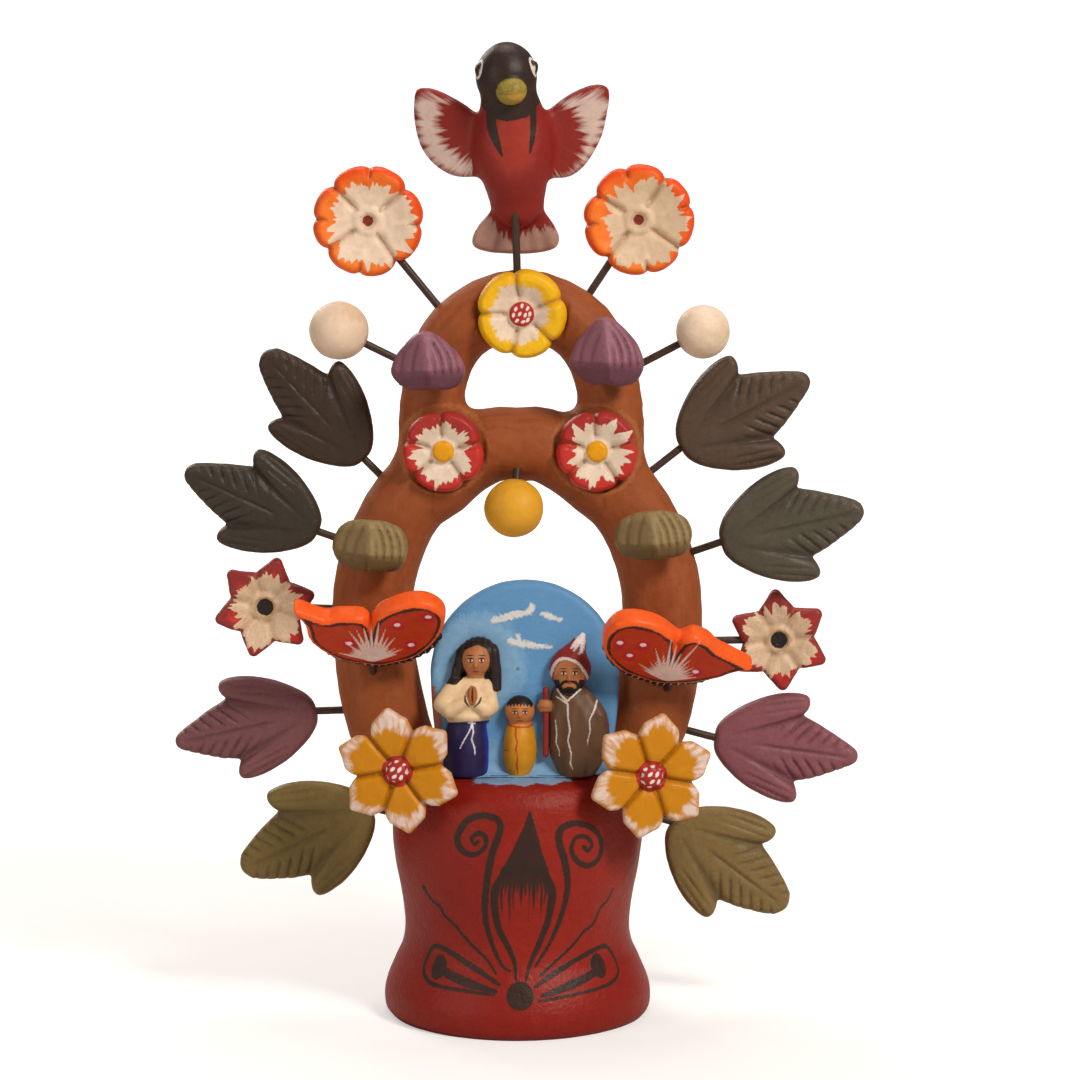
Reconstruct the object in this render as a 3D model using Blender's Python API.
"""Clay tree of life, about 254 mm tall, with 24 ornaments that swivel on short iron wires.

Frame: the origin is the centre of the base's bottom face, +Z is up and the front faces -Y.
Sizes are in millimetres here, and become metres when a mesh is made.
"""
import math

import bmesh
import bpy
from mathutils import Matrix, Vector

MM = 0.001
GAP = 0.3                      # clearance between neighbouring pieces

# Base: a hollow bell, open underneath.
BASE_HEIGHT = 66.0
BASE_WALL = 5.5
BASE_SIDES = 32
BASE_PROFILE = [(33.8, 0.0), (35.2, 2.2), (35.0, 7.0), (32.5, 13.5), (30.5, 18.0), (29.7, 23.0),
                (30.2, 30.0), (32.0, 40.0), (32.8, 49.0), (31.9, 59.0), (30.2, 63.0), (27.4, 65.2),
                (21.0, BASE_HEIGHT)]

# Arches: bent clay coils. Each half is a centre line (x, z) with the coil's radius, low end first.
TUBE_SIDES = 12
ARCH_STEPS = 2                 # pieces of coil between two points of the centre line
MAIN_ARCH = [(23.0, 55.0, 6.5), (27.3, 62.0, 9.0), (33.9, 77.0, 10.7), (37.3, 96.0, 10.5),
             (36.6, 116.0, 10.3), (27.6, 135.6, 10.0), (9.6, 148.6, 9.6)]
MAIN_CROWN = (149.9, 9.5)      # height and radius at the middle
UPPER_ARCH = [(20.5, 139.5, 7.0), (21.6, 148.0, 9.9), (22.6, 164.0, 8.2), (16.0, 179.4, 8.6)]
UPPER_CROWN = (186.3, 8.9)
UPPER_X = 1.0                  # the upper arch stands slightly off centre

# Niche panel: an arched tile that stands on the base's top and leans back a little.
PANEL_FOOT = (2.0, -10.4, BASE_HEIGHT + GAP)
PANEL_LEAN = 9.0               # degrees
PANEL_RADIUS = 24.4
PANEL_FOOT_HALF = 21.5
PANEL_HEIGHT = 49.3
PANEL_THICK = 4.6

# Wires and the holes they sit in.
WIRE_RADIUS = 1.0
HOLE_RADIUS = 1.4
WIRE_SIDES = 8
HOLE_SIDES = 8

# The flat seats planed on the arches for the flowers that are stuck there.
MAIN_SEAT_Y = -8.0
UPPER_SEAT_Y = -7.0
SEAT_RADIUS = 11.0
CROWN_SEAT_RADIUS = 12.0
SEAT_DEPTH = 8.0
SEAT_SIDES = 20

LEAF_LENGTH = 37.6
LEAF_THICK = 5.6
LEAF_CENTRE = 18.0             # share point of the leaf's rings, from the stem end
LEAF_HALF_WIDTH = 13.4         # half width of the outline below, before scaling
LEAF_OUTLINE = [(0.0, 0.0), (0.6, 3.4), (3.4, 6.8), (9.0, 10.4), (14.5, 12.8), (18.6, 13.4),
                (21.4, 12.2)]
LEAF_TIP_LOBE = [(21.7, 8.6), (25.2, 8.3), (29.4, 6.4), (33.8, 3.2), (LEAF_LENGTH, 0.0)]

TERRACOTTA = "A0562E"
RED = "9B2B22"
IRON = "3B2A24"


def srgb(code):
    """Linear colour from a six-digit sRGB code."""
    channels = [int(code[i:i + 2], 16) / 255.0 for i in (0, 2, 4)]
    return [c / 12.92 if c <= 0.04045 else ((c + 0.055) / 1.055) ** 2.4 for c in channels]


def clay(name, code, roughness=0.75, metallic=0.0):
    """A Principled material in one colour."""
    material = bpy.data.materials.new(name)
    material.use_nodes = True
    shader = material.node_tree.nodes["Principled BSDF"]
    shader.inputs["Base Color"].default_value = (*srgb(code), 1.0)
    shader.inputs["Roughness"].default_value = roughness
    shader.inputs["Metallic"].default_value = metallic
    material.diffuse_color = (*srgb(code), 1.0)
    return material


class Frame:
    """A local frame: right, up and out (towards the viewer) unit vectors at an origin."""

    def __init__(self, origin, yaw=0.0, lean=0.0, roll=0.0):
        """Roll is about the outward axis, lean tips the top towards the back, yaw is about Z."""
        turn = (Matrix.Rotation(math.radians(yaw), 3, "Z")
                @ Matrix.Rotation(-math.radians(lean), 3, "X")
                @ Matrix.Rotation(-math.radians(roll), 3, "Y"))
        self.origin = Vector(origin)
        self.right = turn @ Vector((1, 0, 0))
        self.up = turn @ Vector((0, 0, 1))
        self.out = turn @ Vector((0, -1, 0))

    def at(self, a, b, c=0.0):
        """World point at a along right, b along up and c along out."""
        return self.origin + a * self.right + b * self.up + c * self.out


def make_object(name, verts, faces, material, origin=(0, 0, 0), smooth=True):
    """One closed mesh object from world points in millimetres, with its origin where it turns."""
    mesh = bpy.data.meshes.new(name)
    anchor = Vector(origin)
    mesh.from_pydata([(Vector(v) - anchor) * MM for v in verts], [], faces)
    work = bmesh.new()
    work.from_mesh(mesh)
    bmesh.ops.recalc_face_normals(work, faces=work.faces)
    work.to_mesh(mesh)
    work.free()
    for polygon in mesh.polygons:
        polygon.use_smooth = smooth
    obj = bpy.data.objects.new(name, mesh)
    obj.location = anchor * MM
    bpy.context.scene.collection.objects.link(obj)
    mesh.materials.append(material)
    return obj


def skin(rings, start, end):
    """Vertices and faces of a closed skin through equal rings, from pole start to pole end."""
    count = len(rings[0])
    verts = [point for ring in rings for point in ring] + [start, end]
    first, last = len(verts) - 2, len(verts) - 1
    tail = (len(rings) - 1) * count
    faces = []
    for i in range(count):
        j = (i + 1) % count
        faces.append((first, j, i))
        faces.append((last, tail + i, tail + j))
        for k in range(len(rings) - 1):
            low, high = k * count, (k + 1) * count
            faces.append((low + i, low + j, high + j, high + i))
    return verts, faces


def spline(points, steps):
    """Catmull-Rom points through the given tuples, with steps pieces between neighbours."""
    padded = [points[0]] + list(points) + [points[-1]]
    out = []
    for k in range(1, len(padded) - 2):
        p0, p1, p2, p3 = (Vector(p) for p in padded[k - 1:k + 3])
        for s in range(steps):
            t = s / steps
            out.append(0.5 * (2 * p1 + (p2 - p0) * t + (2 * p0 - 5 * p1 + 4 * p2 - p3) * t ** 2
                              + (3 * p1 - p0 - 3 * p2 + p3) * t ** 3))
    out.append(Vector(points[-1]))
    return out


def cut(target, cutters, operation="DIFFERENCE"):
    """Apply Boolean operations with the given objects, which are removed afterwards."""
    for cutter in cutters:
        modifier = target.modifiers.new("cut", "BOOLEAN")
        modifier.operation = operation
        modifier.solver = "EXACT"
        modifier.object = cutter
    bpy.context.view_layer.update()
    graph = bpy.context.evaluated_depsgraph_get()
    result = bpy.data.meshes.new_from_object(target.evaluated_get(graph))
    target.modifiers.clear()
    target.data = result
    for cutter in cutters:
        bpy.data.objects.remove(cutter)
    return target


def rod(name, start, end, radius, sides, material, origin=(0, 0, 0)):
    """A straight round bar between two points."""
    start, end = Vector(start), Vector(end)
    along = (end - start).normalized()
    across = along.orthogonal().normalized()
    other = along.cross(across)
    angles = [2 * math.pi * i / sides for i in range(sides)]
    rings = [[p + radius * (math.cos(a) * across + math.sin(a) * other) for a in angles]
             for p in (start, end)]
    verts, faces = skin(rings, start, end)
    return make_object(name, verts, faces, material, origin, smooth=True)


# ---------------------------------------------------------------- base and arches

def base_rings(grow, hollow):
    """Rings of the base, grown outward by a clearance, with its poles."""
    def ring(radius, z):
        step = 2 * math.pi / BASE_SIDES
        return [(radius * math.cos(step * i), radius * math.sin(step * i), z)
                for i in range(BASE_SIDES)]

    outer = [ring(r + grow, z + (grow if z > BASE_HEIGHT / 2 else -grow)) for r, z in BASE_PROFILE]
    top = (0, 0, BASE_HEIGHT + grow)
    if not hollow:
        return outer, (0, 0, -grow), top
    inner = [ring(r - BASE_WALL, min(z, BASE_HEIGHT - BASE_WALL)) for r, z in BASE_PROFILE[::3]]
    return inner[::-1] + outer, (0, 0, BASE_HEIGHT - BASE_WALL), top


def make_base(material):
    """The bell-shaped base."""
    rings, start, end = base_rings(0.0, hollow=True)
    return make_object("base", *skin(rings, start, end), material)


def arch_stations(half, crown, x_shift, grow):
    """Centre points and radii along a whole arch, from its left foot to its right foot."""
    left = [(-x, z, r) for x, z, r in half]
    right = [(x, z, r) for x, z, r in reversed(half)]
    line = spline(left + [(0.0, *crown)] + right, ARCH_STEPS)
    return [(Vector((p[0] + x_shift, 0, p[1])), p[2] + grow) for p in line]


def arch_object(name, stations, material):
    """A round coil through the stations, which all lie in the plane y = 0."""
    rings = []
    for k, (centre, radius) in enumerate(stations):
        before = stations[max(k - 1, 0)][0]
        after = stations[min(k + 1, len(stations) - 1)][0]
        along = (after - before).normalized()
        side = Vector((along.z, 0, -along.x))
        ring = []
        for i in range(TUBE_SIDES):
            a = 2 * math.pi * i / TUBE_SIDES
            ring.append(centre + radius * (math.cos(a) * side + math.sin(a) * Vector((0, -1, 0))))
        rings.append(ring)
    return make_object(name, *skin(rings, stations[0][0], stations[-1][0]), material)


def seat_cutter(x, z, radius, seat_y, material):
    """A disc that planes a flat seat on the front of a coil."""
    return rod("seat", (x, seat_y, z), (x, seat_y - SEAT_DEPTH, z), radius, SEAT_SIDES, material)


def make_arches(materials):
    """Both arches: the upper one sits on the main one, and the main one on the base."""
    main = arch_object("main_arch", arch_stations(MAIN_ARCH, MAIN_CROWN, 0.0, 0.0),
                       materials["terracotta"])
    upper = arch_object("upper_arch", arch_stations(UPPER_ARCH, UPPER_CROWN, UPPER_X, 0.0),
                        materials["terracotta"])
    rings, start, end = base_rings(GAP, hollow=False)
    base_shape = make_object("base_shape", *skin(rings, start, end), materials["terracotta"])
    main_shape = arch_object("main_shape", arch_stations(MAIN_ARCH, MAIN_CROWN, 0.0, GAP),
                             materials["terracotta"])
    cut(main, [base_shape])
    cut(upper, [main_shape])
    for x in RED_FLOWER_X.values():
        for arch in (main, upper):
            cut(arch, [seat_cutter(x, RED_FLOWER_Z, SEAT_RADIUS, MAIN_SEAT_Y, materials["terracotta"])])
    cut(upper, [seat_cutter(CROWN_FLOWER_X, CROWN_FLOWER_Z, CROWN_SEAT_RADIUS, UPPER_SEAT_Y,
                            materials["terracotta"])])
    return main, upper


# ---------------------------------------------------------------- niche and figures

def panel_frame():
    """Frame on the panel's back face, at the middle of its foot."""
    return Frame(PANEL_FOOT, lean=PANEL_LEAN)


def make_panel(material):
    """The arched tile: straight sides below, a half circle above, a rounded front edge."""
    frame = panel_frame()
    shoulder = PANEL_HEIGHT - PANEL_RADIUS
    half = []
    for k in range(4):
        h = shoulder * k / 4
        bow = (PANEL_RADIUS - PANEL_FOOT_HALF) * (1 - h / shoulder) ** 2
        half.append((PANEL_RADIUS - bow, h))
    arc = [(PANEL_RADIUS * math.cos(math.radians(a)), shoulder + PANEL_RADIUS * math.sin(math.radians(a)))
           for a in range(0, 181, 15)]
    outline = half + arc + [(-a, b) for a, b in reversed(half)]
    layers = [(0.97, 0.0), (1.0, 0.7), (1.0, PANEL_THICK - 1.4), (0.975, PANEL_THICK - 0.4),
              (0.93, PANEL_THICK)]
    rings = []
    for shrink, depth in layers:
        ring = []
        for a, b in outline:
            low = b if b == 0 else shoulder + (b - shoulder) * shrink
            ring.append(frame.at(a * shrink, low, depth))
        rings.append(ring)
    poles = frame.at(0, shoulder, 0), frame.at(0, shoulder, PANEL_THICK)
    return make_object("niche_panel", *skin(rings, *poles), material)


FIGURE_BACK = PANEL_THICK + GAP
FIGURE_ARC = 9                 # points on the rounded front of a figure's section

# Sections of each figure: height, middle, half width and depth, in the panel's frame.
WOMAN = [(0.3, -14.6, 4.6, 5.0), (4.0, -14.6, 5.4, 6.4), (9.0, -14.6, 5.3, 6.2),
         (13.6, -14.4, 4.7, 5.6), (15.2, -14.3, 6.4, 6.4), (18.5, -14.3, 8.0, 7.0),
         (21.5, -14.1, 7.0, 6.4), (24.0, -13.2, 5.6, 5.2), (27.0, -12.2, 5.3, 5.4),
         (30.5, -11.9, 5.2, 5.8), (33.0, -11.9, 4.0, 4.6), (34.8, -11.9, 1.8, 2.4)]
CHILD = [(1.0, -1.9, 1.8, 2.2), (2.4, -1.9, 2.9, 3.6), (6.0, -1.9, 3.7, 4.6),
         (10.0, -1.8, 3.4, 4.6), (13.4, -1.7, 3.0, 4.2), (16.0, -1.7, 3.15, 4.4),
         (18.3, -1.7, 2.2, 3.2), (19.5, -1.7, 0.9, 1.6)]
MAN = [(0.3, 13.4, 3.6, 5.0), (3.0, 13.8, 5.4, 6.4), (8.0, 14.3, 7.2, 7.4), (12.0, 14.4, 7.7, 7.6),
       (16.0, 13.6, 6.9, 7.0), (20.0, 12.2, 5.3, 5.8), (22.0, 11.6, 4.4, 5.2),
       (24.5, 11.6, 4.9, 6.0), (28.0, 11.6, 4.5, 6.0), (31.0, 12.2, 3.5, 5.0),
       (34.0, 13.5, 2.0, 3.4), (36.2, 14.6, 0.6, 1.4)]
STAFF = {"x": 5.4, "low": 4.8, "high": 23.0, "depth": 6.9, "radius": 0.85}
FIST = {"x": 5.7, "height": 18.2, "radii": (2.1, 1.7, 1.9)}


def figure(name, sections, material):
    """A figure with a rounded front and a flat back that lies on the panel."""
    frame = panel_frame()
    rings = []
    for height, middle, half_width, depth in sections:
        ring = []
        for i in range(FIGURE_ARC):
            a = math.pi * i / (FIGURE_ARC - 1)
            ring.append(frame.at(middle + half_width * math.cos(a), height,
                                 FIGURE_BACK + depth * math.sin(a)))
        rings.append(ring)
    foot, head = sections[0], sections[-1]
    poles = (frame.at(foot[1], foot[0], FIGURE_BACK + foot[3] / 2),
             frame.at(head[1], head[0] + 0.3, FIGURE_BACK + head[3] / 2))
    return make_object(name, *skin(rings, *poles), material)


def ball_rings(centre, radii, frame, rows=8, columns=12):
    """Rings and poles of an ellipsoid in a frame; radii run right, up and out."""
    rings = []
    for k in range(1, rows):
        tilt = math.pi * k / rows
        ring = []
        for i in range(columns):
            a = 2 * math.pi * i / columns
            ring.append(frame.at(centre[0] + radii[0] * math.sin(tilt) * math.cos(a),
                                 centre[1] - radii[1] * math.cos(tilt),
                                 centre[2] + radii[2] * math.sin(tilt) * math.sin(a)))
        rings.append(ring)
    poles = (frame.at(centre[0], centre[1] - radii[1], centre[2]),
             frame.at(centre[0], centre[1] + radii[1], centre[2]))
    return rings, *poles


def make_figures(materials):
    """The woman, the child and the man, whose fist holds the staff."""
    figure("woman_figure", WOMAN, materials["woman"])
    figure("child_figure", CHILD, materials["child"])
    man = figure("man_figure", MAN, materials["man"])
    frame = panel_frame()
    fist_centre = (FIST["x"], FIST["height"], STAFF["depth"])
    rings, start, end = ball_rings(fist_centre, FIST["radii"], frame)
    fist = make_object("fist", *skin(rings, start, end), materials["man"])
    cut(man, [fist], "UNION")
    foot = frame.at(STAFF["x"], STAFF["low"], STAFF["depth"])
    head = frame.at(STAFF["x"], STAFF["high"], STAFF["depth"])
    hole = rod("hole", frame.at(STAFF["x"], FIST["height"] - 4, STAFF["depth"]),
               frame.at(STAFF["x"], FIST["height"] + 4, STAFF["depth"]),
               STAFF["radius"] + 0.35, HOLE_SIDES, materials["man"])
    cut(man, [hole])
    rod("staff", foot, head, STAFF["radius"], WIRE_SIDES, materials["staff"])


# ---------------------------------------------------------------- flowers

def petal_disc(name, frame, outline, front, back, material, origin=(0, 0, 0)):
    """A flower: rings that shrink from the outline to the middle, on its front and its back.

    front and back list (share of the radius, height towards the viewer), rim first.
    """
    rings = []
    for share, height in list(reversed(back)) + list(front):
        rings.append([frame.at(r * share * math.cos(a), r * share * math.sin(a), height)
                      for a, r in outline])
    poles = frame.at(0, 0, back[-1][1]), frame.at(0, 0, front[-1][1])
    return make_object(name, *skin(rings, *poles), material, origin)


def round_outline(radius, petals, phase, steps=4, depth=0.09):
    """Angles and radii of a rim with rounded petals."""
    count = petals * steps
    outline = []
    for i in range(count):
        a = 2 * math.pi * i / count
        lobe = abs(math.sin(petals * a / 2)) ** 0.6
        outline.append((a + math.radians(phase), radius * (1 - depth + depth * lobe)))
    return outline


def star_outline(radius, petals, phase, notch=0.66, steps=2):
    """Angles and radii of a rim with pointed petals: straight edges from tip to notch."""
    half = math.pi / petals
    tip = Vector((radius, 0))
    valley = Vector((notch * radius * math.cos(half), notch * radius * math.sin(half)))
    side = [tip.lerp(valley, s / steps) for s in range(steps)]
    back = [Vector((p.x, -p.y)) for p in reversed(side[1:])]
    outline = []
    for k in range(petals):
        for p in side + [valley]:
            outline.append((2 * half * k + math.atan2(p.y, p.x) + math.radians(phase), p.length))
        for p in back:
            outline.append((2 * half * (k + 1) + math.atan2(p.y, p.x) + math.radians(phase), p.length))
    return outline


RED_FLOWER_X = {"left": -18.9, "right": 20.5}
RED_FLOWER_Z = 149.8
RED_FLOWER_RADIUS = 10.6
CROWN_FLOWER_X = 1.1
CROWN_FLOWER_Z = 184.9
CROWN_FLOWER_RADIUS = 11.6


def make_flat_flowers(materials):
    """The three round flowers that are stuck on seats on the arches."""
    for side, x in RED_FLOWER_X.items():
        frame = Frame((x, MAIN_SEAT_Y - GAP, RED_FLOWER_Z))
        petal_disc("red_round_flower_" + side, frame, round_outline(RED_FLOWER_RADIUS, 5, 95),
                   [(1.0, 2.4), (0.93, 4.0), (0.78, 4.7), (0.5, 3.6), (0.3, 3.6), (0.24, 4.4)],
                   [(0.96, 0.9), (0.84, 0.0)], materials["red_flower"])
    frame = Frame((CROWN_FLOWER_X, UPPER_SEAT_Y - GAP, CROWN_FLOWER_Z))
    petal_disc("crown_flower", frame, round_outline(CROWN_FLOWER_RADIUS, 5, 100),
               [(1.0, 2.4), (0.93, 4.1), (0.78, 4.9), (0.5, 4.0), (0.3, 3.9), (0.26, 4.6)],
               [(0.96, 0.9), (0.84, 0.0)], materials["yellow_flower"])


# ---------------------------------------------------------------- wired ornaments

def on_line(start, end, distance):
    """Point at a distance from start towards end."""
    start, end = Vector(start), Vector(end)
    return start + distance * (end - start).normalized()


def wire_up(name, host, ornament, inside, tip, materials):
    """Drill both holes on one straight line and put the wire in them.

    inside is the wire's end in the host and tip is its end in the ornament. The ornament's origin
    already lies on the wire, where it leaves the host; the wire gets the same origin.
    """
    for drilled in (host, ornament):
        hole = rod("hole", on_line(inside, tip, -GAP), on_line(tip, inside, -GAP), HOLE_RADIUS,
                   HOLE_SIDES, materials["iron"])
        cut(drilled, [hole])
    rod(name + "_wire", inside, tip, WIRE_RADIUS, WIRE_SIDES, materials["iron"],
        ornament.location / MM)


def leaf_outline(width_scale):
    """Closed outline (along, across) of a three-lobed leaf, stem end at the origin."""
    half = LEAF_OUTLINE + LEAF_TIP_LOBE
    other = [(u, -v) for u, v in reversed(half[1:-1])]
    return [(u, v * width_scale) for u, v in half + other]


def make_leaf(name, base, angle, width, material, origin, yaw=0.0):
    """A thick three-lobed leaf whose stem end is at base and whose tip points along angle."""
    frame = Frame(base, yaw=yaw, roll=angle)
    outline = leaf_outline(width / (2 * LEAF_HALF_WIDTH))
    layers = [(0.55, -1.0), (0.9, -0.82), (1.0, -0.35), (1.0, 0.35), (0.9, 0.82), (0.55, 1.0)]
    rings = []
    for share, level in layers:
        rings.append([frame.at(LEAF_CENTRE + (u - LEAF_CENTRE) * share, v * share,
                               level * LEAF_THICK / 2) for u, v in outline])
    poles = (frame.at(LEAF_CENTRE, 0, -LEAF_THICK / 2), frame.at(LEAF_CENTRE, 0, LEAF_THICK / 2))
    return make_object(name, *skin(rings, *poles), material, origin)


# Leaf: stem end, direction of the tip in degrees, width, wire's end in its host, depth of that
# end below the host's surface.
LEAVES = [
    ("dark_leaf_upper_left", "main_arch", (-40.6, 1.0, 146.9), 133, 26.5, (-31.6, 0, 138.0), 5.1,
     "dark_leaf_a"),
    ("dark_leaf_lower_left", "main_arch", (-51.8, 0.0, 127.1), 155, 26.5, (-39.0, 0, 122.6), 5.2,
     "dark_leaf_b"),
    ("dark_leaf_upper_right", "main_arch", (42.5, 2.5, 148.7), 29, 30.0, (31.4, 0, 140.3), 4.8,
     "dark_leaf_c"),
    ("dark_leaf_lower_right", "main_arch", (52.7, -5.5, 125.2), 13, 29.5, (41.0, -1.5, 120.5), 4.9,
     "dark_leaf_d"),
    ("purple_leaf_left", "main_arch", (-52.7, 0.0, 79.6), 193, 26.5, (-40.0, 0, 80.0), 5.0,
     "purple_leaf"),
    ("purple_leaf_right", "main_arch", (51.7, 0.0, 72.5), -8, 28.5, (38.6, 0, 76.0), 5.2,
     "purple_leaf"),
    ("olive_leaf_left", "base", (-38.6, 0.0, 53.8), 206, 30.5, (-28.7, 0, 51.4), 4.1,
     "olive_leaf"),
    ("olive_leaf_right", "base", (40.8, 0.0, 49.9), -37.5, 30.0, (29.2, 0, 53.4), 3.7,
     "olive_leaf"),
]
LEAF_WIRE_DEPTH = 4.0          # how far the wire goes into a leaf


def make_leaves(hosts, materials):
    """The eight flat leaves round the tree."""
    for name, host, base, angle, width, inside, depth, slot in LEAVES:
        leaf = make_leaf(name, base, angle, width, materials[slot], on_line(inside, base, depth))
        wire_up(name, hosts[host], leaf, inside, on_line(base, inside, -LEAF_WIRE_DEPTH), materials)


ORANGE_RADIUS = 14.3
RED_STAR_RADIUS = 13.4
YELLOW_STAR_RADIUS = 16.4
YELLOW_STAR_NOTCH = 0.7
ORANGE_FRONT = [(1.0, 0.6), (0.96, 2.4), (0.84, 3.2), (0.55, 2.2), (0.25, 1.3), (0.12, 1.6)]
ORANGE_BACK = [(0.95, -1.0), (0.6, -2.6), (0.3, -3.2)]
RED_STAR_FRONT = [(1.0, 0.9), (0.94, 2.2), (0.75, 2.4), (0.45, 1.5), (0.24, 1.9)]
RED_STAR_BACK = [(0.95, -1.2), (0.6, -2.2), (0.3, -2.5)]
YELLOW_STAR_FRONT = [(1.0, 0.8), (0.95, 2.0), (0.75, 2.6), (0.45, 2.3), (0.29, 2.2), (0.27, 3.4)]
YELLOW_STAR_BACK = [(0.96, -1.0), (0.6, -1.9), (0.3, -2.2)]


def make_wired_flowers(hosts, materials):
    """Orange and red flowers on radial wires, yellow ones in front of the base's shoulder."""
    for side, centre, inside, depth, phase in [
            ("left", (-38.2, 0, 207.8), (-18.0, 0, 182.9), 4.8, 132),
            ("right", (31.2, 0, 208.1), (15.6, 0, 184.5), 5.0, 150)]:
        name = "orange_flower_" + side
        outline = round_outline(ORANGE_RADIUS, 8, phase, 3, 0.07)
        flower = petal_disc(name, Frame(centre), outline, ORANGE_FRONT, ORANGE_BACK,
                            materials["orange_flower"], on_line(inside, centre, depth))
        wire_up(name, hosts["upper_arch"], flower, inside, on_line(centre, inside, 9.0), materials)

    for side, centre, inside, depth, phase in [
            ("left", (-65.7, 1.5, 107.0), (-42.0, 0, 106.6), 5.6, 15),
            ("right", (68.2, 1.5, 98.3), (42.2, 0, 98.2), 5.1, 35)]:
        name = "red_star_flower_" + side
        flower = petal_disc(name, Frame(centre), star_outline(RED_STAR_RADIUS, 6, phase),
                            RED_STAR_FRONT, RED_STAR_BACK, materials["red_star"],
                            on_line(inside, centre, depth))
        wire_up(name, hosts["main_arch"], flower, inside, on_line(centre, inside, 6.5), materials)

    for side, centre, inside, yaw, phase in [
            ("left", (-30.1, -28.0, 69.8), (-32.0, -5.5, 75.5), -12, 100.5),
            ("right", (34.0, -28.0, 68.5), (32.0, -5.5, 74.5), 12, 78.5)]:
        name = "yellow_star_flower_" + side
        frame = Frame(centre, yaw=yaw)
        tip = frame.at(0, 0, 0.4)
        flower = petal_disc(name, frame, star_outline(YELLOW_STAR_RADIUS, 6, phase, YELLOW_STAR_NOTCH),
                            YELLOW_STAR_FRONT, YELLOW_STAR_BACK, materials["yellow_star"],
                            on_line(inside, tip, 5.2))
        wire_up(name, hosts["main_arch"], flower, inside, tip, materials)


def make_balls(hosts, materials):
    """Two cream balls on side wires and the yellow one under the crossbar."""
    for name, host, centre, radii, inside, depth, slot in [
            ("cream_ball_left", "upper_arch", (-45.9, 0, 179.4), (7.8, 7.8, 7.5),
             (-24.0, 0, 168.6), 5.4, "cream"),
            ("cream_ball_right", "upper_arch", (47.9, 0, 179.2), (6.9, 7.2, 6.9),
             (25.4, 0, 167.4), 5.4, "cream"),
            ("yellow_ball", "main_arch", (-0.8, -14.0, 135.3), (7.6, 7.3, 7.5),
             (0.3, -5.6, 146.9), 4.0, "yellow_ball")]:
        rings, start, end = ball_rings((0, 0, 0), radii, Frame(centre))
        ball = make_object(name, *skin(rings, start, end), materials[slot],
                           on_line(inside, centre, depth))
        wire_up(name, hosts[host], ball, inside, on_line(centre, inside, 2.0), materials)


# Outlines of the small cupped leaves: right half (across, up) as shares of width and height.
PURPLE_HALF = [(0.0, -0.47), (0.24, -0.50), (0.41, -0.42), (0.50, -0.16), (0.45, 0.10),
               (0.31, 0.32), (0.15, 0.47), (0.0, 0.50)]
OLIVE_HALF = [(0.0, -0.50), (0.26, -0.49), (0.42, -0.40), (0.50, -0.08), (0.48, 0.20),
              (0.38, 0.38), (0.20, 0.48), (0.0, 0.50)]
SMALL_LEAF_LAYERS = [(0.72, -1.6), (0.95, -1.0), (1.0, 0.3), (0.95, 1.6), (0.78, 3.2), (0.5, 4.6)]
SMALL_LEAF_BULGE = 5.6


def make_small_leaves(hosts, materials):
    """Four small cupped leaves on wires that point towards the viewer."""
    for name, host, centre, size, roll, half, inside, slot in [
            ("small_purple_leaf_left", "upper_arch", (-23.0, -15.0, 173.2), (19.5, 15.5), 4,
             PURPLE_HALF, (-20.8, -4.5, 170.5), "purple_small"),
            ("small_purple_leaf_right", "upper_arch", (22.6, -15.0, 175.6), (19.6, 18.0), 0,
             PURPLE_HALF, (22.2, -4.5, 170.5), "purple_small"),
            ("small_olive_leaf_left", "main_arch", (-37.8, -16.5, 126.0), (20.0, 13.4), -4,
             OLIVE_HALF, (-35.2, -5.5, 122.0), "olive_small"),
            ("small_olive_leaf_right", "main_arch", (34.5, -16.5, 128.6), (20.4, 12.6), 5,
             OLIVE_HALF, (33.6, -5.5, 124.5), "olive_small")]:
        frame = Frame(centre, roll=roll)
        right = [(a * size[0], b * size[1]) for a, b in half]
        outline = right + [(-a, b) for a, b in reversed(right[1:-1])]
        rings = [[frame.at(a * share, b * share, level) for a, b in outline]
                 for share, level in SMALL_LEAF_LAYERS]
        poles = frame.at(0, 0, -1.6), frame.at(0, 0, SMALL_LEAF_BULGE)
        tip = frame.at(0, 0, 1.2)
        leaf = make_object(name, *skin(rings, *poles), materials[slot], on_line(inside, tip, 4.6))
        wire_up(name, hosts[host], leaf, inside, tip, materials)


# Butterfly with closed wings: outline of its face (along the body, up), round wing at high a.
BUTTERFLY_OUTLINE = [(2.6, 15.0), (0.0, 20.5), (7.2, 16.6), (11.3, 17.6), (17.4, 16.8), (18.5, 12.6),
                     (22.0, 19.0), (27.4, 22.2), (32.3, 22.9), (36.2, 20.9), (37.8, 16.8),
                     (35.8, 9.8), (30.8, 3.6), (25.1, 0.9), (20.0, 0.0), (10.8, 2.0), (3.8, 8.6)]
BUTTERFLY_CENTRE = (19.0, 7.0)
BUTTERFLY_THICK = 6.0
BUTTERFLY_LEAN = -38.0         # the wing tops lean towards the viewer
BUTTERFLY_BODY = [(8.0, 1.6, 0.7), (12.0, 0.7, 1.6), (20.0, -0.6, 1.9), (28.0, 0.4, 1.9),
                  (33.5, 2.8, 1.7), (35.6, 4.2, 0.9)]


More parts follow.
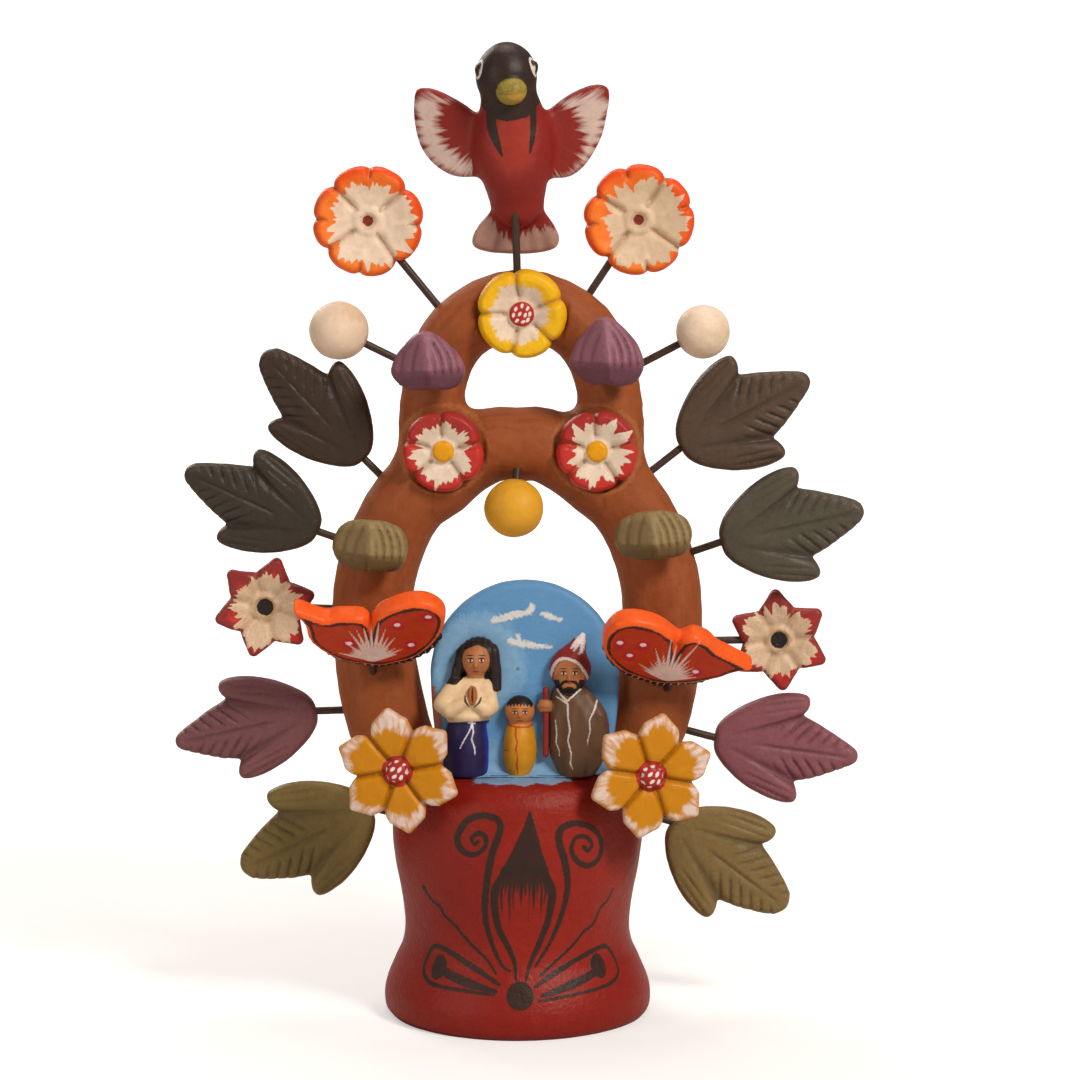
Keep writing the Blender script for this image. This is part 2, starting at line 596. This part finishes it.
def make_butterflies(hosts, materials):
    """Two butterflies with closed wings, leaning forward in front of the arch."""
    for side, mirror, corner, roll, inside in [
            ("left", 1, (-36.9, -17.0, 94.6), 1.0, (-37.4, -6.5, 88.0)),
            ("right", -1, (40.6, -17.0, 89.6), -13.0, (37.2, -6.5, 84.2))]:
        name = "butterfly_" + side
        frame = Frame(corner, lean=BUTTERFLY_LEAN, roll=roll)

        def local(a, b, c):
            return frame.at(mirror * (a - BUTTERFLY_CENTRE[0]), b, c)

        rings = []
        for share, depth in [(0.96, -BUTTERFLY_THICK), (1.0, -BUTTERFLY_THICK + 0.8), (1.0, -0.8),
                             (0.96, 0.0)]:
            rings.append([local(BUTTERFLY_CENTRE[0] + (a - BUTTERFLY_CENTRE[0]) * share,
                                BUTTERFLY_CENTRE[1] + (b - BUTTERFLY_CENTRE[1]) * share, depth)
                          for a, b in BUTTERFLY_OUTLINE])
        poles = (local(*BUTTERFLY_CENTRE, -BUTTERFLY_THICK), local(*BUTTERFLY_CENTRE, 0.0))
        middle = -BUTTERFLY_THICK / 2
        tip = local(BUTTERFLY_CENTRE[0], 3.4, middle)
        wings = make_object(name, *skin(rings, *poles), materials["butterfly"],
                            on_line(inside, tip, 5.4))
        body_rings = []
        for a, b, radius in BUTTERFLY_BODY:
            body_rings.append([local(a, b + radius * math.cos(math.pi * i / 5),
                                     middle + radius * math.sin(math.pi * i / 5))
                               for i in range(10)])
        ends = [local(a, b, middle) for a, b, _ in (BUTTERFLY_BODY[0], BUTTERFLY_BODY[-1])]
        body = make_object("body", *skin(body_rings, *ends), materials["butterfly"])
        cut(wings, [body], "UNION")
        wire_up(name, hosts["main_arch"], wings, inside, tip, materials)


# Bird: body sections (z, y, half width, half depth), then one wing's sections.
BIRD_X = -1.6
BIRD_BODY = [(204.5, 2.8, 7.6, 2.2), (208.5, 1.4, 7.4, 3.0), (213.0, -0.8, 7.4, 4.8),
             (218.5, -2.2, 8.5, 6.6), (225.0, -3.2, 9.4, 7.6), (231.5, -3.8, 9.2, 7.5),
             (237.0, -4.8, 7.4, 6.8), (241.0, -5.6, 6.6, 6.2)]
BIRD_TAIL = [(199.0, 5.2, 8.8, 1.4), (201.0, 4.8, 10.8, 2.0), (205.5, 3.2, 10.2, 2.3),
             (210.0, 1.8, 7.4, 2.2), (213.0, 1.0, 6.6, 2.0)]
BIRD_WING = [(4.0, 230.5, 7.6, 3.0, -2.6), (11.0, 232.0, 9.8, 2.8, -1.5), (17.0, 233.8, 10.4, 2.5, -0.5),
             (21.8, 236.3, 8.8, 2.2, 0.4), (24.4, 238.8, 5.2, 1.6, 0.9), (25.3, 239.8, 2.0, 0.8, 1.0)]
BIRD_HEAD = ((-2.4, -6.6, 244.8), (7.6, 8.8, 7.4))
BIRD_BEAK = ((-1.6, -13.2, 241.8), (3.2, 3.4, 4.2))
BIRD_WIRE = ((0.2, -3.2, 190.0), (-0.6, -3.5, 215.5))
BIRD_SIDES = 12
WING_SIDES = 10


def bird_section(z, y, half_width, half_depth):
    """A level elliptical ring round the bird's middle."""
    angles = [2 * math.pi * i / BIRD_SIDES for i in range(BIRD_SIDES)]
    return [(BIRD_X + half_width * math.cos(a), y + half_depth * math.sin(a), z) for a in angles]


def make_bird(hosts, materials):
    """The bird: body, head, beak, tail and wings joined into one solid on a wire."""
    inside, tip = BIRD_WIRE
    surface = on_line(inside, tip, 4.6)
    rings = [bird_section(*s) for s in BIRD_BODY]
    low, high = BIRD_BODY[0], BIRD_BODY[-1]
    bird = make_object("bird", *skin(rings, (BIRD_X, low[1], low[0]), (BIRD_X, high[1], high[0])),
                       materials["bird"], surface)
    parts = []
    rings = [bird_section(*s) for s in BIRD_TAIL]
    low, high = BIRD_TAIL[0], BIRD_TAIL[-1]
    parts.append(make_object("tail", *skin(rings, (BIRD_X, low[1], low[0]), (BIRD_X, high[1], high[0])),
                             materials["bird"]))
    for centre, radii in (BIRD_HEAD, BIRD_BEAK):
        rings, start, end = ball_rings((0, 0, 0), radii, Frame(centre))
        parts.append(make_object("blob", *skin(rings, start, end), materials["bird"]))
    for mirror in (1, -1):
        rings = []
        for x, z, half_height, half_thick, y in BIRD_WING:
            angles = [2 * math.pi * i / WING_SIDES for i in range(WING_SIDES)]
            rings.append([(BIRD_X + mirror * x, y + half_thick * math.sin(a),
                           z + half_height * math.cos(a)) for a in angles])
        ends = [(BIRD_X + mirror * x, y, z) for x, z, _, _, y in (BIRD_WING[0], BIRD_WING[-1])]
        parts.append(make_object("wing", *skin(rings, *ends), materials["bird"]))
    for part in parts:
        cut(bird, [part], "UNION")
    wire_up("bird", hosts["upper_arch"], bird, inside, tip, materials)


def make_materials():
    """One material for each kind of painted surface."""
    paints = {
        "terracotta": (TERRACOTTA, 0.8), "base": (RED, 0.6), "sky": ("6496C8", 0.6),
        "woman": ("E8D2B0", 0.6), "child": ("C98A1B", 0.6), "man": ("6A4A33", 0.65),
        "staff": ("8E2A22", 0.6), "red_flower": ("C22A26", 0.55), "yellow_flower": ("F0B400", 0.5),
        "orange_flower": ("F05A1E", 0.55), "red_star": ("A83228", 0.6), "yellow_star": ("D09018", 0.6),
        "cream": ("E8CDB0", 0.7), "yellow_ball": ("D99A20", 0.6), "butterfly": ("E04A18", 0.5),
        "bird": ("9E3328", 0.6), "dark_leaf_a": ("453A33", 0.75), "dark_leaf_b": ("3F3C38", 0.75),
        "dark_leaf_c": ("4A453F", 0.75), "dark_leaf_d": ("4B4B42", 0.75), "purple_leaf": ("7A4A58", 0.7),
        "olive_leaf": ("6F5F3C", 0.7), "purple_small": ("8C5F6C", 0.65), "olive_small": ("8C7850", 0.7),
    }
    materials = {name: clay(name, code, rough) for name, (code, rough) in paints.items()}
    materials["iron"] = clay("iron", IRON, 0.5, 0.6)
    return materials


def main():
    """Build every sub-part."""
    for obj in list(bpy.data.objects):
        bpy.data.objects.remove(obj)
    materials = make_materials()
    base = make_base(materials["base"])
    main_arch, upper_arch = make_arches(materials)
    hosts = {"base": base, "main_arch": main_arch, "upper_arch": upper_arch}
    make_panel(materials["sky"])
    make_figures(materials)
    make_flat_flowers(materials)
    make_leaves(hosts, materials)
    make_wired_flowers(hosts, materials)
    make_balls(hosts, materials)
    make_small_leaves(hosts, materials)
    make_butterflies(hosts, materials)
    make_bird(hosts, materials)


main()
